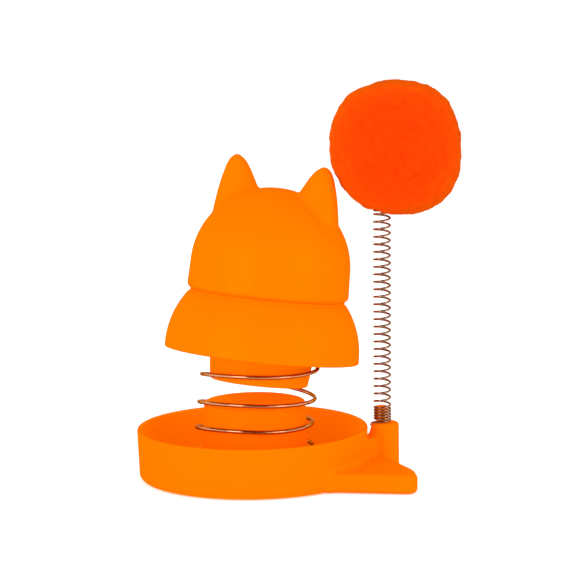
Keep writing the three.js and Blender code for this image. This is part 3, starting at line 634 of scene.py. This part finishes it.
fitted("lower_stub", together("lower_stub", [
    as_mesh("hub_wall", [hub_wall], orange_painted_by_height), repeated(claw, 3, 150, 65, orange_painted_by_height),
    repeated(boss, 3, 30, 120, orange_painted_by_height, circle=boss_circle), repeated(stop, 1, 84.6, 0, orange_painted_by_height)],
    orange_painted_by_height, Matrix.Translation((hub_x, 0, 0))), "base", "orange_plastic", "spring_hub")

# Screws. Small self-tapping steel screws with pan heads and cross recesses: three up through the tray's floor
# into the lower stub, one into the wand's peg and three down through the bell's inner plate.
steel, place, feed = material("screw_steel", Metallic=1.0)
plating = place.noise(700.0, 3.0)
feed("Base Color", plating.blend((0.5, 0.5, 0.52, 1), (0.66, 0.66, 0.67, 1)))
feed("Roughness", plating * 0.25 + 0.2)


def screw(grip):
    """One screw, head down, its seat at height 0 and its shank upwards."""
    end, pitch, core, crest = grip + 9.0, 0.9, 0.95, 1.2
    line = [(0, -1.6), (1.9, -1.6, 0.7), (2.7, -0.7, 0.5), (2.7, 0, 0.15), (core, 0)]
    for k in range(int((end - 2.2) / pitch)):
        z = 0.4 + k * pitch
        line += [(core, z), (crest, z + 0.3), (core, z + 0.6)]
    line += [(0.9, end - 1.5), (0, end)]
    holder, cutters = placed("screw", as_mesh("screw", [turned(line, 20)], steel)), []
    for a, b in ((1.7, 0.32), (0.32, 1.7)):
        corners = [(x * k, y * k, z) for z, k in ((-2.0, 1.0), (-0.75, 0.6))
                   for x, y in ((-a, -b), (a, -b), (a, b), (-a, b))]
        sides = [(0, 3, 2, 1), (4, 5, 6, 7), (0, 1, 5, 4), (1, 2, 6, 5), (2, 3, 7, 6), (3, 0, 4, 7)]
        cutters.append(placed("bit", as_mesh("bit", [(corners, sides)], steel)))
        recess = holder.modifiers.new("recess", "BOOLEAN")
        recess.operation, recess.object, recess.solver = "DIFFERENCE", cutters[-1], "EXACT"
    graph = bpy.context.evaluated_depsgraph_get()
    made = bpy.data.meshes.new_from_object(holder.evaluated_get(graph), depsgraph=graph)
    for used in cutters + [holder]:
        bpy.data.objects.remove(used)
    return made


fitted("hub_screws", together("hub_screws", [repeated(screw(1.3), 3, 30, 120, steel, 3.5, boss_circle)], steel,
       Matrix.Translation((hub_x, 0, 0))), "base", "screw_steel", "hub_screw_1", "hub_screw_2", "hub_screw_3")
fitted("wand_screw", together("wand_screw", [screw(2.3)], steel, Matrix.Translation((wand_x, post_y, 11.4))),
       "base", "screw_steel", "peg_screw")

# Wide spring. Copper-coloured spring wire, about six open turns between two end turns that lie flat, wound one
# way up from the viewer's side. It leans over with the head above it, and it is cut into a lower and an upper
# half.
lean_right, lean_back = math.radians(6.5), math.radians(5.2)
head_axis = Vector((math.tan(lean_right), math.tan(lean_back), 1)).normalized()
head_tilt = Vector((0, 0, 1)).rotation_difference(head_axis)
plate_low, spring_tall = 18, 70.25
top_turn = plate_low - 0.1 - wire / 2
head_at = Vector((4.9, 3.0, end_turn + spring_tall - top_turn * head_axis.z))
head_place = Matrix.Translation(head_at) @ head_tilt.to_matrix().to_4x4()
# After so many turns the wire has reached this share of the spring's height
RISE = [(-0.5, 0), (0.125, 0), (0.5, 0.028), (1, 0.106), (2, 0.2665), (3, 0.44), (4, 0.631), (5, 0.824),
        (6, 0.966), (6.375, 1), (7, 1)]


def climb(turn):
    """The share of the spring's height that its wire has reached after so many turns."""
    gaps = [(b[1] - a[1]) / (b[0] - a[0]) for a, b in zip(RISE, RISE[1:])]
    lean = [0] + [2 * a * b / (a + b) if a * b > 0 else 0 for a, b in zip(gaps, gaps[1:])] + [0]
    i = max(k for k in range(len(RISE) - 1) if turn >= RISE[k][0] or k == 0)
    span = RISE[i + 1][0] - RISE[i][0]
    t = min(max((turn - RISE[i][0]) / span, 0), 1)
    return (RISE[i][1] * (1 + 2 * t) * (1 - t) ** 2 + lean[i] * span * t * (1 - t) ** 2
            + RISE[i + 1][1] * t * t * (3 - 2 * t) + lean[i + 1] * span * t * t * (t - 1))


def wide_turn(turn):
    """Where the wide spring's wire is after so many turns."""
    height = spring_tall * climb(turn)
    lean = Matrix.Identity(3).to_quaternion().slerp(head_tilt, float(ramp(height, 2, 19)))
    line = head_at + head_axis * ((end_turn + height - head_at.z) / head_axis.z)
    share = float(ramp(height, 8, 24))
    angle = 2 * math.pi * turn - math.pi / 2
    lift = float(np.interp(turn, [1.5, 2.25, 3.25, 4.25, 5.25], [0, 1.9, 0.55, 1.3, 0]))
    lift *= max(math.cos(angle), 0) ** 2
    middle = Vector((hub_x + (line.x - hub_x) * share, line.y * share, end_turn + height + lift))
    return middle + lean @ Vector((math.cos(angle), math.sin(angle), 0)) * spring_r


def drawn_wire(name, points, thickness, finish, sides=14):
    """Wire along a path: a ring swept along it, with closed ends, that keeps how far along each point lies."""
    curve = bpy.data.curves.new(name, "CURVE")
    curve.dimensions = "3D"
    line = curve.splines.new("POLY")
    line.points.add(len(points) - 1)
    for spot, point in zip(line.points, points):
        spot.co = (*(Vector(point) * MM), 1)
    group, path, radius, around, paint = nodes_tree(
        "drawn_wire", Path="Geometry", Wire_Radius="Float", Sides="Int", Finish="Material")
    kept = path.node("GeometryNodeStoreNamedAttribute", {"data_type": "FLOAT", "domain": "POINT"}, {
        "Geometry": path, "Name": "along",
        "Value": path.node("GeometryNodeSplineParameter", None, None, "Length")})
    ring = path.node("GeometryNodeCurvePrimitiveCircle", None, {"Resolution": around, "Radius": radius})
    tree_end(group, path.node("GeometryNodeCurveToMesh", None, {
        "Curve": kept, "Profile Curve": ring, "Fill Caps": True}), paint)
    mesh = grown_mesh(curve, group, Wire_Radius=thickness / 2 * MM, Sides=sides, Finish=finish)
    mesh.shade_smooth()
    return mesh


def part_of(mesh, name, keep):
    """The faces of a mesh whose middles the test keeps, with the cut closed."""
    made = mesh.copy()
    made.name = name
    work = bmesh.new()
    work.from_mesh(made)
    bmesh.ops.delete(work, geom=[f for f in work.faces if not keep(f.calc_center_median())], context="FACES")
    bmesh.ops.holes_fill(work, edges=[e for e in work.edges if e.is_boundary], sides=0)
    bmesh.ops.recalc_face_normals(work, faces=work.faces)
    work.to_mesh(made)
    work.free()
    made.set_sharp_from_angle(angle=math.radians(60))
    return made


def in_two(name, whole, seam, node):
    """The lower and the upper part of a spring's wire, parted at a height."""
    parts = [part_of(whole, name + "_lower", lambda c: c.z < seam),
             part_of(whole, name + "_upper", lambda c: c.z >= seam)]
    return (fitted(name + "_lower", parts[0], None, "copper_wire", node),
            fitted(name + "_upper", parts[1], None, "copper_wire"))


def coppered_wire(name, warm, pale):
    """Bright copper-coloured wire with fine drawing lines along it and faint brown tarnish."""
    made, place, feed = material(name, Metallic=1.0, Specular_Tint=(0.4, 0.22, 0.12, 1))
    along = place.node("ShaderNodeAttribute", {"attribute_name": "along"}, None, "Fac")
    tarnish = place.noise(260.0, 4.0, Roughness=0.6)
    drawn = place.node("ShaderNodeTexNoise", {"noise_dimensions": "1D"},
                       {"W": along * 900.0, "Scale": 1.0, "Detail": 2.0})
    feed("Base Color", tarnish.blend(warm, pale))
    feed("Roughness", drawn * 0.08 + tarnish * 0.1 + 0.06)
    feed("Normal", drawn.bump(0.2, 0.00003))
    return made


copper = coppered_wire("copper_wire", (0.38, 0.14, 0.05, 1), (0.64, 0.32, 0.17, 1))
dark_copper = coppered_wire("dark_copper_wire", (0.2, 0.085, 0.04, 1), (0.46, 0.27, 0.17, 1))
path = [wide_turn(t) for t in np.linspace(-0.5, 7, int(7.5 * 72) + 1)]
# Each end of the wire runs on straight for its own width
path = [path[0] + Vector((wire, 0, 0))] + path + [path[-1] + head_tilt @ Vector((wire, 0, 0))]
# The point that the head turns about, in the middle of the free turns
head_pivot = Vector((2.8, 1.3, 41.0)) * MM
whole = drawn_wire("wide_spring", path, wire, copper)
lower, upper = in_two("wide_spring", whole, head_pivot.z, "bounce_spring")
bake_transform(lower)
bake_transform(upper)

# Upper stub. A tapered cup under the bell that grips the spring's top turns, of the same plastic as the lower
# one, with three claws over the top turn and three bosses for the screws.
neck_mouth = 17.7
neck_wall = turned([
    (0, -14), (23.3, -14, 0.9), (24.1, -8, 6), (24.7, 0, 6), (24.7, 10.7, 0.5), (24.3, 12.7, 0.5),
    (24.3, neck_mouth, 0.3), (22.5, neck_mouth, 0.3), (22.5, 12.5, 0.5), (22.9, 10.5, 0.5), (22.9, 0, 5),
    (22.3, -8, 4), (21.6, -12.2, 0.8), (0, -12.2)], 160)
claw = sector(23.4, spring_r + 0.6, top_turn - 2.4, top_turn - wire / 2 - 0.1, 7)
boss = screw_boss(-13, neck_mouth, 7.4)
stop = sector(23.2, spring_r + 1.4, top_turn - 0.6, neck_mouth, 2.1, 0.2)
fitted("upper_stub", together("upper_stub", [
    as_mesh("neck_wall", [neck_wall], orange_painted_by_height), repeated(claw, 3, 70, 70, orange_painted_by_height),
    repeated(boss, 3, 0, 120, orange_painted_by_height, circle=boss_circle), repeated(stop, 1, -84.6, 0, orange_painted_by_height)],
    orange_painted_by_height, head_place), "head", "orange_plastic", "neck_cup")

# Bell. The bell-shaped skirt, one moulding with an inner plate that the upper stub is screwed to and a collar on
# top with three bayonet lugs for the dome. Its outside curves in evenly from its mouth to the seam.
bell_mouth, bell_curve, bell_thick, plate_top, collar_top = 46.4, 41.8, 2.2, 20.5, 36


def bell_r(height, inwards=0.0):
    """The radius of the bell's outside at a height, less the wall on the inside."""
    return bell_mouth - bell_curve + math.sqrt(bell_curve ** 2 - (height - 1) ** 2) - inwards


bell_wall = turned(
    [(bell_r(1) - 1.0, -0.9, 0.5), (bell_r(1) + 0.05, -0.7, 0.7)]
    + [(bell_r(h), h) for h in (1.6 + 2.2 * k for k in range(12))]
    + [(36.9, 27.0, 0.5), (36.9, 27.7, 0.2), (34.2, 27.7, 0.3), (34.2, collar_top, 0.4), (32.4, collar_top, 0.4),
       (32.4, 26.8, 1.2), (bell_r(22.5, bell_thick), 22.5), (bell_r(plate_top, 2.5), plate_top, 0.6),
       (8, plate_top, 0.4), (8, plate_low, 0.4), (bell_r(plate_low, bell_thick), plate_low, 0.8)]
    + [(bell_r(h, bell_thick), h) for h in (15, 12, 9, 6, 3)], 220, closed=True)
lug = sector(33.2, 35.7, 33.5, 35.5, 12)
fitted("bell", together("bell", [as_mesh("bell_wall", [bell_wall], orange), repeated(lug, 3, 65, 120, orange)],
       orange, head_place), "head", "orange_plastic", "skirt")
flipped = head_place @ Matrix.Translation((0, 0, 20.8)) @ Matrix.Rotation(math.pi, 4, "X")
fitted("neck_screws", together("neck_screws", [repeated(screw(2.5), 3, 0, 120, steel, 0, boss_circle)], steel,
       flipped), "head", "screw_steel", "neck_screw_1", "neck_screw_2", "neck_screw_3")

# Dome with ears. A thin dome with two rounded ears, moulded in one, that sits over the collar and locks under its
# lugs by a part turn. Its wall is 2 mm everywhere, so the ears are hollow too.
# Each ear at some heights: (height, distance of its middle from the axis, half its width)
EARS = [(46, 13.6, 17.2), (52, 15, 16.6), (60, 17.2, 15.6), (66, 18.4, 13.8), (72, 19.7, 11.7), (78, 20.8, 9.5),
        (83, 21.6, 7.5), (87, 22.2, 5.7), (89.5, 22.6, 4.1), (91.2, 22.9, 2.2), (91.9, 23.0, 0.8)]
ear_z, ear_x, ear_a = (np.array(c, float) for c in zip(*EARS))
ear_foot, ear_top, ear_depth = 46, 92.0, 0.72
ball_z, ball_r, dome_foot, dome_wall, mouth_r, mouth_top = 41, 38.1, 27.79, 2.0, 35.0, 30.2


def ear(x, y, z, side, wall):
    """One ear: an oval section at each height, which narrows to a rounded tip."""
    z = z + 0.8 * side * np.clip((z - 52) / 39.2, 0, 1)
    middle = np.interp(z, ear_z, ear_x)
    half = np.sqrt(np.maximum(np.interp(z, ear_z, ear_a ** 2), 0.04))
    across, deep = (x * side - middle) / half, y / (half * ear_depth)
    far, farther = np.hypot(across, deep), np.hypot(across / half, deep / (half * ear_depth))
    form = far * (far - 1) / np.maximum(farther, 1e-4)
    return np.maximum(np.maximum(form, z - ear_top), ear_foot - z) + wall


def dome_skin(x, y, z, wall):
    """The dome and both ears grown together, drawn in by the thickness of a wall."""
    radius = np.hypot(x, y)
    ball = np.hypot(radius, z - ball_z) - ball_r
    side = radius - np.interp(z, [28.1, 29.0, 30.2, 33, ball_z], [36.9, ball_r, 38.5, 38.42, ball_r])
    dome = np.where(z > ball_z, ball, side) + wall
    return grown(grown(dome, ear(x, y, z, 1, wall), 2.4), ear(x, y, z, -1, wall), 2.4)


def dome(x, y, z):
    """The dome with its hollow, and a narrower mouth that fits over the collar."""
    outside = np.maximum(dome_skin(x, y, z, 0.0), dome_foot - z)
    mouth = np.maximum(mouth_r - np.hypot(x, y), z - mouth_top)
    return cut(outside, np.maximum(dome_skin(x, y, z, dome_wall), -mouth), 0.4)


at, faces, normals = skinned(dome, (-40.5, -40.5, 27.6), (40.5, 40.5, 93.4), 0.66)
dome_place = head_place @ Matrix.Rotation(math.radians(-25), 4, "Z")
fitted("dome_with_ears", as_mesh("dome_with_ears", [(at, faces)], orange, dome_place, normals=normals), "dome",
       "orange_plastic", "head_dome")
hook = sector(34.7, 36.6, 31.2, 33.2, 12)
fitted("dome_hooks", together("dome_hooks", [repeated(hook, 3, 90, 120, orange)], orange, dome_place), "dome",
       "orange_plastic")

# Wand. A peg pressed into the post and held by its screw; the thin spring's close turns grip it, and its lower
# end hooks over the post's rim. Copper-coloured wire again, thinner, with open turns up to the pompom.
fitted("wand_plug", as_mesh("wand_plug", [turned([
    (0, 14.0), (2.8, 14.0, 0.3), (2.8, 32.7, 0.9), (0, 32.7)], 48)], orange_painted_by_height,
    Matrix.Translation((wand_x, post_y, 0))), "base", "orange_plastic", "wand_peg")
thin, wand_start, close_top, open_top, wand_top, thin_seam = 1.0, 25.45, 32.25, 125.65, 129.73, 0.065
close_end, open_end, wand_end, aside, back = 5, 31, 34, 0.65, 1.5


def wand_turn(turn):
    """Where the thin spring's wire is after so many turns. It leans a little aside and back."""
    z = float(np.interp(turn, [0, close_end, open_end, wand_end], [wand_start, close_top, open_top, wand_top]))
    share = min(max((z - wand_start) / (open_top - wand_start), 0), 1)
    angle = 2 * math.pi * turn - math.pi / 2
    return Vector((wand_x + aside * share + wand_r * math.cos(angle),
                   post_y + back * share + wand_r * math.sin(angle), z))


path = [wand_turn(t) for t in np.linspace(0, wand_end, wand_end * 40 + 1)]
tail = [(5.7, 1.6), (5.65, 1.15), (5.45, 0.75), (5.1, 0.4), (4.6, 0.16), (4.0, 0.06), (3.0, 0.03), (2.0, 0.01),
        (1.0, 0)]
path = [path[0] + Vector((-left, 0, -down)) for left, down in tail] + path + [path[-1] + Vector((thin, 0, 0))]
whole = drawn_wire("thin_spring", path, thin, dark_copper, 10)
lower, upper = in_two("thin_spring", whole, thin_seam, "wand_spring")
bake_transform(lower)
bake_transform(upper)

# Pompom. A trimmed ball of fine orange yarn, tied at its middle to a plug that sits in the spring's top turns.
# Its core keeps the trimmed outline, and thousands of yarn ends stand on it, packed close.
# Painted light: the emission gives the yarn a faint orange glow of its own, which lightens the shade between its
# tufts
yarn, place, feed = material(
    "orange_yarn", Roughness=0.95, Specular_IOR_Level=0.05, Emission_Color=(1.0, 0.045, 0.0, 1),
    Emission_Strength=0.26, Sheen_Weight=1.0, Sheen_Roughness=0.5, Sheen_Tint=(1.0, 0.3, 0.0, 1))
strand = place.node("ShaderNodeAttribute", {"attribute_name": "strand"}, None, "Fac")
patch, fibre = place.noise(240.0, 4.0, Roughness=0.65), place.noise(4200.0)
amount = strand * 0.35 + patch * 0.9 + fibre * 0.2 - 0.22
feed("Base Color", amount.blend((0.98, 0.016, 0.0, 1), (1.0, 0.076, 0.0, 1)))
feed("Normal", fibre.bump(0.6, 0.0003))

end_x, end_y, tie_z, tie_r, tie_thick = wand_x + aside, post_y + back, 133.5, 2.7, 0.8
pompom_at = np.array([end_x + 6.6, end_y + 2.5, open_top + 30.4])
fitted("wand_end_plug", as_mesh("wand_end_plug", [turned([
    (0, 126.4), (2.8, 126.4, 0.5), (2.8, 130.48), (4.25, 130.48, 0.2), (4.25, 131.98, 0.2), (1.6, 131.98, 0.2),
    (1.6, 134.98), (2.8, 134.98, 0.3), (2.8, 136.48, 0.4), (0, 136.48)], 40)], orange_painted_by_height,
    Matrix.Translation((end_x, end_y, 0))), "puff", "orange_plastic", "pompom_plug")
ring = [(tie_r + tie_thick * math.cos(a), tie_z + tie_thick * math.sin(a))
        for a in (2 * math.pi * k / 12 for k in range(12))]
fitted("yarn_tie", as_mesh("yarn_tie", [turned(ring, 40, closed=True)], yarn,
       Matrix.Translation((end_x, end_y, 0)), 80), "puff", "orange_yarn", "pompom_tie")


def unit(rows):
    """Each row as a direction."""
    return rows / np.linalg.norm(rows, axis=1)[:, None]


# Scissor cuts: flats all over the ball, each a little nearer to its middle or further from it than even
snips, even = unit(np.random.default_rng(7).normal(size=(110, 3))), 30.4
snip_at = np.random.default_rng(8).uniform(29.4, 31.5, 110)
# Lumps: low waves that run all ways over the ball, and one bulge low at its right
lumps = np.random.default_rng(5).normal(size=(11, 3))
lumps *= (np.linspace(18, 44, 11) / np.linalg.norm(lumps, axis=1))[:, None]
yarn_r, lump_high, bulge_high, bulge_wide, shoulders, hole_r, hole_top = 31.0, 0.08, 2.3, 0.5, 1.9, 5.25, 137.5
bulge_way = np.array([0.72, -0.1, -0.69]) / np.linalg.norm([0.72, -0.1, -0.69])


def yarn_ball(x, y, z):
    """The trimmed ball, fuller at its upper shoulders, with a hole for the plug and the tie."""
    x, y, z = np.broadcast_arrays(x - pompom_at[0], y - pompom_at[1], z - pompom_at[2])
    radius = np.sqrt(x * x + y * y + z * z) + 1e-9
    way = np.stack([x / radius, y / radius, z / radius], -1)
    size = yarn_r + 0.6 * way[..., 2] ** 2 - 0.3 * way[..., 0] ** 2
    size = size + shoulders * (2 * np.hypot(way[..., 0], way[..., 1]) * np.clip(way[..., 2], 0, 1)) ** 2
    for number, lump in enumerate(lumps):
        size = size + lump_high * np.sin(way @ lump + number)
    size = size + bulge_high * np.exp(-(np.arccos(np.clip(way @ bulge_way, -1, 1)) / bulge_wide) ** 2)
    ball, near = radius - size, np.abs(radius - size) < 4
    for flat, at in zip(snips, snip_at):
        ball[near] = cut(ball[near], size[near] + at - even - (way[near] @ flat) * radius[near], 0.5)
    hole = np.hypot(x + pompom_at[0] - end_x, y + pompom_at[1] - end_y) - hole_r
    return cut(ball, np.maximum(hole, z + pompom_at[2] - hole_top), 2.0)


at, faces, normals = skinned(yarn_ball, pompom_at - 35.5, pompom_at + 35.5, 1.1)
core = as_mesh("pompom_core", [(at, faces)], yarn, normals=normals)
shown = (np.hypot(at[:, 0] - end_x, at[:, 1] - end_y) > 6.2) | (at[:, 2] > 140)
for name, values in (("outer", shown.astype(np.float32)), ("strand", np.full(len(at), 0.3, np.float32))):
    core.attributes.new(name, "FLOAT", "POINT").data.foreach_set("value", values)


def pile(surface, yarn_end, gap, density, seed, finish):
    """Yarn ends all over a surface: one small tuft at each of many evenly spaced points, upright on it."""
    group, skin, end, apart, most, number, paint = nodes_tree(
        "yarn_pile", Surface="Geometry", Yarn_End="Object", Gap="Float", Density="Float", Seed="Int",
        Finish="Material")
    outer = skin.node("GeometryNodeInputNamedAttribute", None, {"Name": "outer"}, "Attribute")
    points = skin.node("GeometryNodeDistributePointsOnFaces", {"distribute_method": "POISSON"}, {
        "Mesh": skin, "Distance Min": apart, "Density Max": most, "Density Factor": outer, "Seed": number},
        "Points")
    size = skin.node("FunctionNodeRandomValue", {"data_type": "FLOAT_VECTOR"}, {
        "Min": (0.85, 0.85, 0.6), "Max": (1.2, 1.2, 1.2), "Seed": number + 1})
    lean = skin.node("FunctionNodeRandomValue", {"data_type": "FLOAT_VECTOR"}, {
        "Min": (-0.5, -0.5, -3.1), "Max": (0.5, 0.5, 3.1), "Seed": number + 2})
    tone = skin.node("FunctionNodeRandomValue", None, {"Seed": number + 3}, 1)
    turn = skin.node("FunctionNodeRotateRotation", {"rotation_space": "LOCAL"}, {
        0: points.also("Rotation"), 1: skin.node("FunctionNodeEulerToRotation", None, {0: lean})})
    tufts = skin.node("GeometryNodeInstanceOnPoints", None, {
        "Points": points, "Instance": skin.node("GeometryNodeObjectInfo", None, {"Object": end}, "Geometry"),
        "Rotation": turn, "Scale": size})
    tree_end(group, skin.node("GeometryNodeStoreNamedAttribute", {"data_type": "FLOAT", "domain": "INSTANCE"}, {
        "Geometry": tufts, "Name": "strand", "Value": tone}), paint)
    return grown_mesh(surface, group, Yarn_End=yarn_end, Gap=gap, Density=density, Seed=seed, Finish=finish)


def read(mesh, what):
    """A value of each of a mesh's points, such as its place or its normal."""
    values = np.empty(len(mesh.vertices) * 3, np.float32)
    mesh.vertices.foreach_get(what, values)
    return values.reshape(-1, 3)


tuft = as_mesh("yarn_end", [turned([(0, -0.3), (0.36, -0.3), (0, 0.7)], 3)], yarn, sharp=180)
tuft_holder = placed("yarn_end", tuft)
ends = pile(core, tuft_holder, gap=0.5 * MM, density=12.0e6, seed=11, finish=yarn)
bpy.data.objects.remove(tuft_holder)
ends.shade_smooth()
# The tufts are shaded mostly as the ball under them, and a little as their own sides
out = unit(read(ends, "co") / MM - pompom_at) + 0.35 * read(ends, "normal")
ends.normals_split_custom_set_from_vertices(unit(out).tolist())
core.attributes.remove(core.attributes["outer"])
fitted("pompom_core", core, "puff", "orange_yarn", "pompom")
fitted("pompom_pile", ends, "puff", "orange_yarn")
